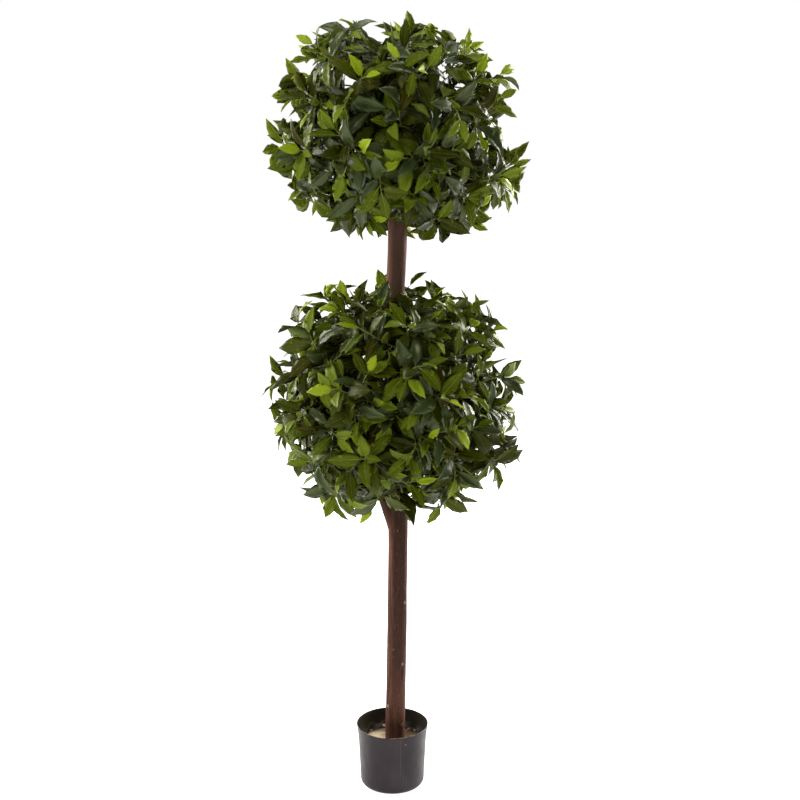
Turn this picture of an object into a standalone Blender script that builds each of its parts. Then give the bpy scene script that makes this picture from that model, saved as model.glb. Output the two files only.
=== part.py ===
"""An artificial bay topiary with two leafy balls on one pole, standing in a small round pot.

The pot is a thin turned shell, filled with cement that holds the pole's foot. The pole is the
trunk: it runs up through the lower ball and ends inside the upper one. Each ball is twelve
sprays of leaves. A spray is one stem that leaves the trunk, or the end of a bough, and branches
into twigs whose tips are spread evenly over the ball by a golden spiral.

Metres, +Z up, front towards -Y. The origin is the centre of the pot's flat underside.
"""

import math
import random
from collections import namedtuple

import bmesh
import bpy
from mathutils import Quaternion, Vector
from mathutils.bvhtree import BVHTree

CLEARANCE = 0.0003  # between pieces that meet
MERGE_DISTANCE = 1e-6  # points nearer than this are one
UP = Vector((0, 0, 1))
GOLDEN_ANGLE = math.pi * (3 - math.sqrt(5))

# Pot: a tapered plastic shell with a round lower corner and a lip that flares
POT_HEIGHT = 0.153
POT_WALL = 0.002
POT_SIDES = 32
POT_BASE_RADIUS = 0.0774  # where the tapered side would meet the floor
POT_TAPER = 0.048  # growth of the radius with height
POT_CORNER = 0.012  # radius of the round lower corner
POT_CORNER_STEPS = 3
POT_FLARE = 0.0029  # how far the lip stands out past the taper
POT_FLARE_HEIGHT = 0.05
POT_FLARE_STEPS = 3
POT_LIP_RISE = 0.0005  # how far the middle of the lip stands above its edges
POT_SHARP_ANGLE = 40  # degrees; flatter edges are shaded smooth

# Cement fill
FILL_TOP = 0.102
FILL_CROWN = 0.002  # its middle stands this much higher than its edge

# Trunk: centre line as (x, y, z), in the order foot to tip, and the radius there
SOCKET_DEPTH = 0.018
TRUNK_LINE = (
    (0.0065, 0.000, FILL_TOP - SOCKET_DEPTH),
    (0.0090, 0.000, 0.25),
    (0.0139, 0.001, 0.58),
    (0.0130, 0.002, 0.76),
    (0.0065, 0.002, 0.96),
    (0.0022, 0.001, 1.13),
    (0.0107, 0.000, 1.26),
    (0.0137, 0.000, 1.38),
    (0.0155, 0.001, 1.66),
)
TRUNK_FOOT_RADIUS = 0.0239
TRUNK_TIP_RADIUS = 0.0215
TRUNK_SIDES = 16
TRUNK_RINGS = 13
TRUNK_END_BEVEL = 0.006
TRUNK_BEVEL_STEPS = 2
BARK_SHARP_ANGLE = 50

# Boughs: centre lines from inside the trunk to where each enters a spray
Bough = namedtuple("Bough", "name line radii")
LEFT_BOUGH_LINE = (
    (0.0100, 0.000, 0.630),
    (-0.0090, -0.002, 0.690),
    (-0.0265, -0.003, 0.740),
    (-0.0480, -0.002, 0.790),
)
RIGHT_BOUGH_LINE = (
    (0.0140, 0.000, 1.455),
    (0.0300, -0.003, 1.510),
    (0.0410, -0.004, 1.552),
    (0.0470, -0.004, 1.582),
)
BOUGH_RADII = (0.0135, 0.0125, 0.0108, 0.0085)
BOUGHS = (
    Bough("left_bough", LEFT_BOUGH_LINE, BOUGH_RADII),
    Bough("right_bough", RIGHT_BOUGH_LINE, BOUGH_RADII),
)
BOUGH_SIDES = 10

# Sprays: one stem each, in three tiers round a ball
TIERS = (  # height angle, number round the ball, and where the stem leaves the trunk
    (54.7, 3, 0.050),
    (0.0, 6, 0.0),
    (-54.7, 3, -0.120),
)
STEM_REACH = 0.44  # of the ball's reach
STEM_RADII = (0.0074, 0.0066, 0.0054)
STEM_SIDES = 5
STEM_TURN = 0.35  # how far a stem runs on in its bough's direction
STEM_BARE = 0.25  # the first part of a stem has no twigs
STEM_LAST_TWIG = 0.97
TWIG_RADII = (0.0038, 0.0032)
TWIG_SIDES = 3
TIPS = 63  # twig tips on a ball
TIP_REACH = (0.72, 0.80)  # of the ball's reach
TIP_JITTER = 0.10
TIP_TRUNK_GAP = 0.050  # twig tips stay this far from the trunk's centre line
SPACE_MARGIN = 0.001  # each spray keeps this far inside its own space

# Leaves: folded lozenges, a little larger than life
LEAF_LENGTH = (0.098, 0.116)
LEAF_WIDTH = 0.44  # of its length
LEAF_THICKNESS = 0.0024
LEAF_WIDEST = 0.46  # place of the widest point along the leaf
LEAF_THICKEST = 0.12
LEAF_FOLD = 0.07  # rise of the two edges, of the length
LEAF_DROOP = 0.08
LEAF_SINK = 0.001  # how far a leaf's root runs past the middle of its twig
LEAF_SPACING = 0.0095  # between leaves along a twig
LEAF_FIRST = 0.6  # the first leaf is this many spacings below the twig's tip
LEAF_SPREAD = (20, 58, 72, 82, 90)  # degrees from the twig, from the tip down
LEAF_SPREAD_JITTER = 12
LEAF_UPRIGHT = 0.97  # a leaf that heads this straight outwards faces up instead
LEAF_MIDDLE = 0.6  # the place along a leaf that is kept away from other leaves' places
LEAF_TRIES = 40
LEAF_SHRINK = 0.25  # a leaf that finds no room is this much shorter by its last try

# Balls: reach is the half size out to the furthest leaf tips
Ball = namedtuple("Ball", "name centre reach yaw seed")
BALLS = (
    Ball("lower_spray", Vector((0.007, 0.0, 0.962)), Vector((0.312, 0.312, 0.299)), 50, 11),
    Ball("upper_spray", Vector((0.015, 0.0, 1.574)), Vector((0.307, 0.307, 0.257)), 20, 31),
)
BALL_POWER = 2.5  # 2 is an ellipsoid; more makes a ball's shoulders fuller

COLOURS = {  # base colour, roughness
    "pot_plastic": ((0.050, 0.043, 0.045), 0.34),
    "cement": ((0.45, 0.36, 0.24), 0.90),
    "bark": ((0.068, 0.032, 0.022), 0.80),
    "leaf": ((0.042, 0.062, 0.008), 0.42),
}


def clear_scene():
    for thing in list(bpy.data.objects):
        bpy.data.objects.remove(thing)


def finish(name):
    """The Principled material of one finish, made once."""
    if name in bpy.data.materials:
        return bpy.data.materials[name]
    colour, roughness = COLOURS[name]
    material = bpy.data.materials.new(name)
    material.use_nodes = True
    shader = material.node_tree.nodes["Principled BSDF"]
    shader.inputs["Base Color"].default_value = (*colour, 1.0)
    shader.inputs["Roughness"].default_value = roughness
    shader.inputs["Metallic"].default_value = 0.0
    return material


def new_object(name, body, finish_name):
    """An object from a bmesh, which is freed."""
    bmesh.ops.recalc_face_normals(body, faces=body.faces[:])
    mesh = bpy.data.meshes.new(name)
    body.to_mesh(mesh)
    body.free()
    mesh.materials.append(finish(finish_name))
    thing = bpy.data.objects.new(name, mesh)
    bpy.context.scene.collection.objects.link(thing)
    return thing


def shade_round(thing, sharp_angle):
    thing.data.shade_smooth()
    thing.data.set_sharp_from_angle(angle=math.radians(sharp_angle))


def apply_modifiers(thing):
    """Give the object the mesh that its modifiers make, and drop them."""
    depsgraph = bpy.context.evaluated_depsgraph_get()
    result = bpy.data.meshes.new_from_object(thing.evaluated_get(depsgraph))
    thing.modifiers.clear()
    old = thing.data
    thing.data = result
    bpy.data.meshes.remove(old)


def cut(thing, cutter):
    """Take the cutter's shape out of the object."""
    boolean = thing.modifiers.new("Cut", "BOOLEAN")
    boolean.operation = "DIFFERENCE"
    boolean.object = cutter
    apply_modifiers(thing)


def keep_main_shell(thing):
    """Drop every shell but the largest: a small one inside is a hollow, which this fills."""
    body = bmesh.new()
    body.from_mesh(thing.data)
    shells = []
    waiting = set(body.verts)
    while waiting:
        shell, edge_of_shell = set(), [waiting.pop()]
        while edge_of_shell:
            corner = edge_of_shell.pop()
            shell.add(corner)
            near = {edge.other_vert(corner) for edge in corner.link_edges} & waiting
            waiting -= near
            edge_of_shell.extend(near)
        shells.append(shell)
    shells.sort(key=len)
    for shell in shells[:-1]:
        bmesh.ops.delete(body, geom=list(shell), context="VERTS")
    body.to_mesh(thing.data)
    body.free()


# ---------------------------------------------------------------- pot and fill


def pot_radius(height):
    """Outer radius of the pot above its round corner."""
    flare = max(0.0, 1 - (POT_HEIGHT - height) / POT_FLARE_HEIGHT)
    return POT_BASE_RADIUS + POT_TAPER * height + POT_FLARE * flare**2


def pot_outline(inset, top):
    """The pot's side from the axis outwards and up, moved inwards by inset, as far as top."""
    corner = POT_CORNER - inset
    centre = Vector((pot_radius(POT_CORNER) - POT_CORNER, POT_CORNER))
    points = [Vector((0.0, inset))]
    for step in range(POT_CORNER_STEPS + 1):
        turn = math.pi / 2 * step / POT_CORNER_STEPS
        points.append(centre + corner * Vector((math.sin(turn), -math.cos(turn))))
    for step in range(POT_FLARE_STEPS + 1):
        height = POT_HEIGHT - POT_FLARE_HEIGHT * (1 - step / POT_FLARE_STEPS)
        points.append(Vector((pot_radius(min(height, top)) - inset, min(height, top))))
        if height >= top:
            break
    return points


def turned(outline):
    """A solid turned from an outline that starts and ends on the axis."""
    body = bmesh.new()
    corners = [body.verts.new((point.x, 0.0, point.y)) for point in outline]
    edges = [body.edges.new(pair) for pair in zip(corners, corners[1:])]
    bmesh.ops.spin(
        body,
        geom=corners + edges,
        cent=(0, 0, 0),
        axis=(0, 0, 1),
        angle=2 * math.pi,
        steps=POT_SIDES,
        use_merge=True,
    )
    bmesh.ops.remove_doubles(body, verts=body.verts[:], dist=MERGE_DISTANCE)
    return body


def make_pot():
    outer = pot_outline(0.0, POT_HEIGHT)
    inner = pot_outline(POT_WALL, POT_HEIGHT)
    lip = outer[-1] + Vector((-POT_WALL / 2, POT_LIP_RISE))
    pot = new_object("pot", turned(outer + [lip] + inner[::-1]), "pot_plastic")
    shade_round(pot, POT_SHARP_ANGLE)


def make_fill(trunk_cutter):
    side = pot_outline(POT_WALL + CLEARANCE, FILL_TOP)
    outline = side + [Vector((0.0, FILL_TOP + FILL_CROWN))]
    fill = new_object("cement_fill", turned(outline), "cement")
    cut(fill, trunk_cutter)
    shade_round(fill, POT_SHARP_ANGLE)


# ---------------------------------------------------------------- limbs


def smooth_point(line, place):
    """A point on the Catmull-Rom curve through the line's points; place runs from 0 to 1."""
    spans = len(line) - 1
    span = min(int(place * spans), spans - 1)
    part = place * spans - span
    before, start, end, after = (
        Vector(line[min(max(span + step, 0), spans)]) for step in (-1, 0, 1, 2)
    )
    bend = (
        2 * start
        + (end - before) * part
        + (2 * before - 5 * start + 4 * end - after) * part**2
        + (3 * start - before - 3 * end + after) * part**3
    )
    return bend / 2


def limb(points, radii, sides):
    """A tapering limb: a disc at its foot, extruded from ring to ring along its points."""
    body = bmesh.new()
    last = len(points) - 1
    heading = (points[1] - points[0]).normalized()
    turn = heading.to_track_quat("Z", "X")
    bmesh.ops.create_circle(body, cap_ends=True, segments=sides, radius=1.0)
    ring = [vert.co.copy() for vert in body.verts]
    end = body.faces[:]
    for index, (point, radius) in enumerate(zip(points, radii)):
        tangent = (points[min(index + 1, last)] - points[max(index - 1, 0)]).normalized()
        turn = heading.rotation_difference(tangent) @ turn
        heading = tangent
        if index:
            grown = bmesh.ops.extrude_face_region(body, geom=end + list(end[0].edges))["geom"]
            end = [item for item in grown if isinstance(item, bmesh.types.BMFace)]
        for corner, place in zip(end[0].verts, ring):
            corner.co = point + turn @ (place * radius)
    return body


def trunk_rings():
    """Centres and radii of the trunk's rings, evenly spaced from its flat foot to its tip."""
    places = [ring / TRUNK_RINGS for ring in range(TRUNK_RINGS + 1)]
    points = [smooth_point(TRUNK_LINE, place) for place in places]
    foot, tip = points[0].z, points[-1].z
    radii = [
        TRUNK_FOOT_RADIUS + (TRUNK_TIP_RADIUS - TRUNK_FOOT_RADIUS) * (point.z - foot) / (tip - foot)
        for point in points
    ]
    return points, radii


def make_trunk():
    points, radii = trunk_rings()
    body = limb(points, radii, TRUNK_SIDES)
    foot = points[0].z
    for corner in body.verts:
        if corner.co.z < foot + TRUNK_FOOT_RADIUS / 2:
            corner.co.z = foot
    top = max(body.verts, key=lambda corner: corner.co.z)
    rim = [edge for face in top.link_faces if len(face.verts) > 4 for edge in face.edges]
    bmesh.ops.bevel(
        body,
        geom=rim,
        offset=TRUNK_END_BEVEL,
        affect="EDGES",
        segments=TRUNK_BEVEL_STEPS,
        profile=0.5,
        material=-1,
    )
    trunk = new_object("trunk", body, "bark")
    shade_round(trunk, BARK_SHARP_ANGLE)


def make_trunk_cutter():
    """The trunk, larger all round by the clearance, which cuts whatever meets it."""
    points, radii = trunk_rings()
    points[0] = points[0] - Vector((0, 0, CLEARANCE))
    body = limb(points, [radius + CLEARANCE for radius in radii], TRUNK_SIDES)
    for corner in body.verts:
        if corner.co.z < points[0].z + TRUNK_FOOT_RADIUS / 2:
            corner.co.z = points[0].z
    cutter = new_object("trunk_cutter", body, "bark")
    cutter.hide_render = True
    cutter.display_type = "WIRE"
    return cutter


def make_bough(bough, trunk_cutter):
    points = [Vector(point) for point in bough.line]
    limb_object = new_object(bough.name, limb(points, bough.radii, BOUGH_SIDES), "bark")
    cut(limb_object, trunk_cutter)
    shade_round(limb_object, BARK_SHARP_ANGLE)
    return limb_object


def trunk_centre(height):
    """The trunk's centre at a height."""
    points, _ = trunk_rings()
    for low, high in zip(points, points[1:]):
        if low.z <= height <= high.z:
            return low.lerp(high, (height - low.z) / (high.z - low.z))
    return points[-1]


# ---------------------------------------------------------------- sprays of leaves


def direction_at(height_angle, turn_angle):
    up, turn = math.radians(height_angle), math.radians(turn_angle)
    return Vector((math.cos(up) * math.cos(turn), math.cos(up) * math.sin(turn), math.sin(up)))


def spray_directions(ball):
    """The way each spray of a ball points, and the height where its stem leaves the trunk."""
    found = []
    for tier, (height_angle, count, rise) in enumerate(TIERS):
        for number in range(count):
            turn = ball.yaw + 360 * (number + tier / 2) / count
            found.append((direction_at(height_angle, turn), ball.centre.z + rise))
    return found


def fullness(ball, offset):
    """How far out a place is: 1 on the surface that the furthest leaf tips reach."""
    parts = [abs(part / size) ** BALL_POWER for part, size in zip(offset, ball.reach)]
    return sum(parts) ** (1 / BALL_POWER)


def place_in(ball, direction, share):
    """The place in a direction from the ball's centre, at a share of its reach."""
    return ball.centre + direction * share / fullness(ball, direction)


def tip_directions(ball, rng):
    """Directions spread evenly over a ball by a golden spiral, each moved a little."""
    found = []
    for number in range(TIPS):
        height = 1 - (2 * number + 1) / TIPS
        turn = number * GOLDEN_ANGLE + math.radians(ball.yaw)
        flat = math.sqrt(1 - height**2)
        nudge = Vector([rng.uniform(-TIP_JITTER, TIP_JITTER) for _ in range(3)])
        tip = (Vector((flat * math.cos(turn), flat * math.sin(turn), height)) + nudge).normalized()
        place = place_in(ball, tip, TIP_REACH[0])
        beside = (place - trunk_centre(place.z)).xy.length
        if beside > TIP_TRUNK_GAP or place.z > TRUNK_LINE[-1][2]:
            found.append(tip)
    return found


def leaf_shape(root, heading, face, length):
    """Corners and faces of one leaf that leaves its twig at root and looks towards face."""
    across = heading.cross(face).normalized()
    upwards = across.cross(heading).normalized()
    half = LEAF_WIDTH * length / 2
    wide = root + heading * LEAF_WIDEST * length + upwards * LEAF_FOLD * length
    thick = root + heading * LEAF_THICKEST * length
    corners = [
        root - heading * LEAF_SINK,
        wide - across * half,
        thick + upwards * LEAF_THICKNESS / 2,
        wide + across * half,
        thick - upwards * LEAF_THICKNESS / 2,
        root + heading * length - upwards * LEAF_DROOP * length,
    ]
    faces = []
    for side in range(4):
        first, second = 1 + side, 1 + (side + 1) % 4
        faces.append((0, second, first))
        faces.append((5, first, second))
    return corners, faces


def leaf_body(corners, faces):
    body = bmesh.new()
    verts = [body.verts.new(corner) for corner in corners]
    for face in faces:
        body.faces.new([verts[index] for index in face])
    return body


class Spray:
    """One stem, its twigs and their leaves, which keep to the spray's own space.

    That space is the part of the ball nearer to the spray's direction than to any other's.
    """

    def __init__(self, name, ball, direction, other_directions):
        self.name = name
        self.ball = ball
        self.direction = direction
        self.sides = [(direction - other).normalized() for other in other_directions]
        self.parts = bpy.data.collections.new(name + "_parts")
        self.twigs = []
        self.leaf_trees = []
        bpy.context.scene.collection.children.link(self.parts)

    def holds(self, point):
        offset = point - self.ball.centre
        if any(side.dot(offset) < SPACE_MARGIN for side in self.sides):
            return False
        return fullness(self.ball, offset) <= 1.0

    def add_part(self, body):
        part = new_object(self.name + "_part", body, "leaf")
        bpy.context.scene.collection.objects.unlink(part)
        self.parts.objects.link(part)

    def add_stem(self, foot, bough_heading, trunk_cutter):
        """The stem, from inside the trunk, which cuts it, or from the end of a bough."""
        end = place_in(self.ball, self.direction, STEM_REACH)
        middle = foot.lerp(end, 0.5)
        if bough_heading:
            middle = foot + bough_heading * (end - foot).length * STEM_TURN
        self.stem_line = (foot, middle, end)
        self.stem = new_object(self.name, limb(self.stem_line, STEM_RADII, STEM_SIDES), "leaf")
        if not bough_heading:
            cut(self.stem, trunk_cutter)

    def add_twigs(self, tips, limbs, rng):
        """A straight twig to each tip; those that spread widest leave the stem lowest."""
        tips = sorted(tips, key=self.direction.dot)
        for number, tip in enumerate(tips):
            share = STEM_BARE + (STEM_LAST_TWIG - STEM_BARE) * (number + 1) / len(tips)
            start = smooth_point(self.stem_line, share)
            end = place_in(self.ball, tip, rng.uniform(*TIP_REACH))
            body = limb((start, end), TWIG_RADII, TWIG_SIDES)
            tree = BVHTree.FromBMesh(body)
            if any(tree.overlap(other) for other in limbs):
                body.free()
                continue
            self.add_part(body)
            self.twigs.append((end, (end - start).normalized(), tree))

    def fits(self, corners, tree, own_twig, limbs):
        """Whether a leaf keeps to the space and touches nothing but its own twig."""
        if not all(self.holds(corner) for corner in corners):
            return False
        other_twigs = [twig[2] for twig in self.twigs if twig is not own_twig]
        return not any(tree.overlap(other) for other in limbs + other_twigs + self.leaf_trees)

    def add_leaf(self, twig, number, limbs, middles, rng):
        """Of the places that fit, a leaf takes the one furthest from every other leaf."""
        tip, along, _ = twig
        root = tip - along * LEAF_SPACING * (number + LEAF_FIRST)
        outward = (root - self.ball.centre).normalized()
        best, best_room = None, 0.0
        for attempt in range(LEAF_TRIES):
            jitter = rng.uniform(-LEAF_SPREAD_JITTER, LEAF_SPREAD_JITTER)
            spread = math.radians(LEAF_SPREAD[number] + jitter)
            sideways = along.orthogonal().normalized()
            sideways.rotate(Quaternion(along, rng.uniform(0, 2 * math.pi)))
            heading = (along * math.cos(spread) + sideways * math.sin(spread)).normalized()
            face = UP if abs(heading.dot(outward)) > LEAF_UPRIGHT else outward
            length = rng.uniform(*LEAF_LENGTH) * (1 - LEAF_SHRINK * attempt / LEAF_TRIES)
            corners, faces = leaf_shape(root, heading, face, length)
            middle = root + heading * length * LEAF_MIDDLE
            room = min(((middle - other).length for other in middles), default=math.inf)
            tree = BVHTree.FromPolygons(corners, faces)
            if room > best_room and self.fits(corners, tree, twig, limbs):
                best, best_room = (corners, faces, middle, tree), room
        if best:
            corners, faces, middle, tree = best
            middles.append(middle)
            self.leaf_trees.append(tree)
            self.add_part(leaf_body(corners, faces))

    def join(self):
        """Fuse every twig and leaf to the stem, as one closed solid."""
        boolean = self.stem.modifiers.new("Join", "BOOLEAN")
        boolean.operation = "UNION"
        boolean.operand_type = "COLLECTION"
        boolean.collection = self.parts
        boolean.solver = "MANIFOLD"
        apply_modifiers(self.stem)
        keep_main_shell(self.stem)
        for part in list(self.parts.objects):
            bpy.data.objects.remove(part)
        bpy.data.collections.remove(self.parts)


def make_ball(ball, limb_objects, trunk_cutter):
    """The twelve sprays of one ball, with its twig tips shared out among them."""
    rng = random.Random(ball.seed)
    depsgraph = bpy.context.evaluated_depsgraph_get()
    limbs = [BVHTree.FromObject(thing, depsgraph) for thing in limb_objects]
    middles = []
    directions = spray_directions(ball)
    tips = tip_directions(ball, rng)
    for number, (direction, height) in enumerate(directions):
        others = [other for other, _ in directions if other is not direction]
        spray = Spray(f"{ball.name}_{number + 1:02d}", ball, direction, others)
        foot, heading = trunk_centre(height), None
        for bough in BOUGHS:
            end = Vector(bough.line[-1])
            if spray.holds(end):
                heading = (end - Vector(bough.line[-2])).normalized()
                foot = end + heading * CLEARANCE
        spray.add_stem(foot, heading, trunk_cutter)
        own_tips = [tip for tip in tips if all(side.dot(tip) >= 0 for side in spray.sides)]
        spray.add_twigs(own_tips, limbs, rng)
        for leaf_number in range(len(LEAF_SPREAD)):
            for twig in spray.twigs:
                spray.add_leaf(twig, leaf_number, limbs, middles, rng)
        spray.join()


clear_scene()
trunk_cutter = make_trunk_cutter()
make_pot()
make_fill(trunk_cutter)
make_trunk()
limb_objects = [trunk_cutter] + [make_bough(bough, trunk_cutter) for bough in BOUGHS]
for ball in BALLS:
    make_ball(ball, limb_objects, trunk_cutter)
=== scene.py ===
"""An artificial bay topiary: two leafy balls on one pole, in a small round pot filled with cement.

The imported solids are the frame, and each is dressed in the order in which the real one is put
together: the pot, the pole, its cement, the wired branches and the leaves.
"""

import random
from collections import namedtuple
from itertools import product
from math import copysign, cos, exp, inf, pi, radians, sin, sqrt

import bmesh
import bpy
import numpy as np
from mathutils import Matrix, Quaternion, Vector, noise
from mathutils.bvhtree import BVHTree
from mathutils.kdtree import KDTree


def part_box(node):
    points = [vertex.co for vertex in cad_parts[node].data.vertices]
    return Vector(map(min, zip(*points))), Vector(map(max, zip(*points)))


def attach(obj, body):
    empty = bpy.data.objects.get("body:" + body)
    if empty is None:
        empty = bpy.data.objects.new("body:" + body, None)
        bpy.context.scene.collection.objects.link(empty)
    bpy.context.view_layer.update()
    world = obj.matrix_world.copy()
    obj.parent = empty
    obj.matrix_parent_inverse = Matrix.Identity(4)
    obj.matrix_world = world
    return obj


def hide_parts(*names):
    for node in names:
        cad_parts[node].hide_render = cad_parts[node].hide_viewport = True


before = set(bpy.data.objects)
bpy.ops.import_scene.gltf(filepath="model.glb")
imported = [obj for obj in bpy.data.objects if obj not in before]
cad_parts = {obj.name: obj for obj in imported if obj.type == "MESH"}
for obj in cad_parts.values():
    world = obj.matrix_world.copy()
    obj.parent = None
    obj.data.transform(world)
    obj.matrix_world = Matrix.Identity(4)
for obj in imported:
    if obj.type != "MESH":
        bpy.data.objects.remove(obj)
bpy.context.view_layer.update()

# ------ pot
# A thin moulded pot of dark satin plastic. Its side widens upwards and flares at the lip. It has no
# rim band. Faint ridges on the front and a small round mark were left by the mould.

POT_WALL = 0.002
POT_BASE_RADIUS = 0.0774  # where the tapered side would meet the floor
POT_TAPER = 0.048  # growth of the radius with height
POT_CORNER = 0.012  # radius of the round lower corner
POT_FLARE = 0.0029  # of the lip, past the taper
POT_FLARE_HEIGHT = 0.05
POT_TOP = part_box("pot")[1].z
POT_SIDES = 120
POT_CORNER_STEPS = 8
POT_SIDE_STEPS = 14
POT_LIP_STEPS = 5
POT_WAVE = 0.00012  # how far the wall is from round
POT_WAVES = 11
POT_RIM_SPAN = (0.0016, 0.0004)  # under the top, where the rim is paler
POT_FILM_SPAN = (0.127, 0.112)  # heights between which the cement film thins
SEAMS = (  # ridges: (right of the middle, lowest, highest)
    (0.0205, 0.045, 0.15),
    (0.0262, 0.022, 0.052),
    (0.0338, 0.022, 0.048),
)
SEAM_WIDTH = 0.002
SEAM_HEIGHT = 0.00045
GATE = Vector((0.0323, 0, 0.1334))  # the mark where the plastic was injected
GATE_RADIUS = 0.0021
GATE_RISE = 0.3  # of its radius

POT_DARK = (0.0125, 0.0078, 0.01)
POT_WORN = (0.02, 0.0135, 0.017)
POT_RIM = (0.14, 0.118, 0.092)
POT_INSIDE = (0.015, 0.012, 0.008)
POT_FILM = (0.11, 0.098, 0.105)
POT_GATE = (0.09, 0.05, 0.052)
POT_SEAM = (0.026, 0.021, 0.022)


class Value:
    """A node's output, which Python's operators turn into Math nodes."""

    def __init__(self, paint, socket):
        self.paint = paint
        self.socket = socket

    def math(self, operation, first, second):
        return self.paint.node("Math", {"operation": operation}, {0: first, 1: second})

    def __add__(self, other):
        return self.math("ADD", self, other)

    def __sub__(self, other):
        return self.math("SUBTRACT", self, other)

    def __rsub__(self, other):
        return self.math("SUBTRACT", other, self)

    def __mul__(self, other):
        return self.math("MULTIPLY", self, other)

    __radd__ = __add__
    __rmul__ = __mul__


class Paint:
    """One material: its Principled shader and the nodes that drive it."""

    def __init__(self, name, colour, roughness, gloss=0.5):
        self.material = bpy.data.materials.new(name)
        self.material.use_nodes = True
        self.tree = self.material.node_tree
        self.shader = self.tree.nodes["Principled BSDF"]
        self.set("Base Color", (*colour, 1.0))
        self.set("Roughness", roughness)
        self.set("Specular IOR Level", gloss)

    def set(self, socket, value):
        """Give one of the shader's sockets a value or a node's output."""
        self.plug(self.shader.inputs[socket], value)

    def plug(self, socket, value):
        if isinstance(value, Value):
            self.tree.links.new(value.socket, socket)
        else:
            socket.default_value = value

    def node(self, kind, settings=None, inputs=None, output=0):
        """Add a node: its settings first, then the values or links of its sockets."""
        made = self.tree.nodes.new("ShaderNode" + kind)
        for name, value in (settings or {}).items():
            setattr(made, name, value)
        for name, value in (inputs or {}).items():
            self.plug(made.inputs[name], value)
        return Value(self, made.outputs[output])

    def place(self, stretch=(1, 1, 1)):
        """Object coordinates, stretched."""
        coordinates = self.node("TexCoord", output="Object")
        return self.node("Mapping", inputs={"Vector": coordinates, "Scale": stretch})

    def noise(self, scale, low=0.0, high=1.0, detail=4.0, stretch=(1, 1, 1)):
        """Noise, spread so that low and high become 0 and 1."""
        inputs = {"Vector": self.place(stretch), "Scale": scale, "Detail": detail}
        cloud = self.node("TexNoise", inputs=inputs)
        return self.node("MapRange", inputs={"Value": cloud, 1: low, 2: high})

    def axis(self, name):
        return self.node("SeparateXYZ", inputs={0: self.place()}, output=name)

    def band(self, value, low, high):
        """0 at low and beyond it, 1 at high. Either may be the larger."""
        settings = {"interpolation_type": "SMOOTHSTEP"}
        return self.node("MapRange", settings, {"Value": value, 1: low, 2: high})

    def distance(self, point, stretch):
        inputs = {0: self.place(stretch), 1: point * Vector(stretch)}
        return self.node("VectorMath", {"operation": "DISTANCE"}, inputs, "Value")

    def near(self, point, radius, stretch=(1, 1, 1)):
        """1 at a point and 0 past the radius, which stretch under 1 makes longer."""
        return self.band(self.distance(point, stretch), radius, radius * 0.4)

    def mix(self, amount, first, second):
        """Two colours mixed. Each is a colour or a node's output."""
        sides = [side if isinstance(side, Value) else (*side, 1.0) for side in (first, second)]
        inputs = {0: amount, 6: sides[0], 7: sides[1]}
        return self.node("Mix", {"data_type": "RGBA"}, inputs, output=2)

    def rough(self, least, more, *cloud, **spread):
        """Roughness that noise adds to."""
        self.set("Roughness", least + more * self.noise(*cloud, **spread))

    def bump(self, height, *cloud, **spread):
        """Relief from noise."""
        inputs = {"Height": self.noise(*cloud, **spread), "Distance": height}
        self.set("Normal", self.node("Bump", inputs=inputs))


def show(data, paints=()):
    """An object from a mesh, light or camera, with its materials."""
    for paint in paints:
        data.materials.append(paint.material)
    piece = bpy.data.objects.new(data.name, data)
    bpy.context.scene.collection.objects.link(piece)
    return piece


def add_piece(name, body, paints, smooth_angle=40):
    """An object from a bmesh, which is freed."""
    mesh = bpy.data.meshes.new(name)
    body.to_mesh(mesh)
    body.free()
    mesh.shade_smooth()
    mesh.set_sharp_from_angle(angle=radians(smooth_angle))
    return show(mesh, paints)


def dress(piece, slot, *nodes):
    """The piece rides on the plant's only body and stands for these nodes."""
    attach(piece, "root")
    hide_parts(*nodes)


def pot_radius(height):
    """Outer radius of the pot above its round corner."""
    flare = max(0.0, 1 - (POT_TOP - height) / POT_FLARE_HEIGHT)
    return POT_BASE_RADIUS + POT_TAPER * height + POT_FLARE * flare**2


def pot_side(inset, top):
    """The pot's side from the axis up to top, moved inwards, as (radius, height)."""
    corner = POT_CORNER - inset
    centre = Vector((pot_radius(POT_CORNER) - POT_CORNER, POT_CORNER))
    points = [Vector((0.0, inset))]
    for step in range(POT_CORNER_STEPS + 1):
        turn = pi / 2 * step / POT_CORNER_STEPS
        points.append(centre + corner * Vector((sin(turn), -cos(turn))))
    for step in range(1, POT_SIDE_STEPS + 1):
        height = POT_CORNER + (top - POT_CORNER) * step / POT_SIDE_STEPS
        points.append(Vector((pot_radius(height) - inset, height)))
    return points


def turned(outline, steps):
    """A body turned from an outline of (radius, height) that starts and ends on the axis."""
    body = bmesh.new()
    corners = [body.verts.new((point.x, 0.0, point.y)) for point in outline]
    edges = [body.edges.new(pair) for pair in zip(corners, corners[1:])]
    circle = {"cent": (0, 0, 0), "axis": (0, 0, 1), "angle": 2 * pi, "steps": steps}
    bmesh.ops.spin(body, geom=corners + edges, use_merge=True, **circle)
    bmesh.ops.remove_doubles(body, verts=body.verts[:], dist=1e-6)
    bmesh.ops.recalc_face_normals(body, faces=body.faces[:])
    return body


lip_height = POT_TOP - POT_WALL / 2
lip_centre = Vector((pot_radius(POT_TOP) - POT_WALL / 2, lip_height))
lip = []
for step in range(1, POT_LIP_STEPS):
    turn = pi * step / POT_LIP_STEPS
    lip.append(lip_centre + POT_WALL / 2 * Vector((cos(turn), sin(turn))))
pot_outline = pot_side(0.0, lip_height) + lip + pot_side(POT_WALL, lip_height)[::-1]
pot_body = turned(pot_outline, POT_SIDES)

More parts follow.
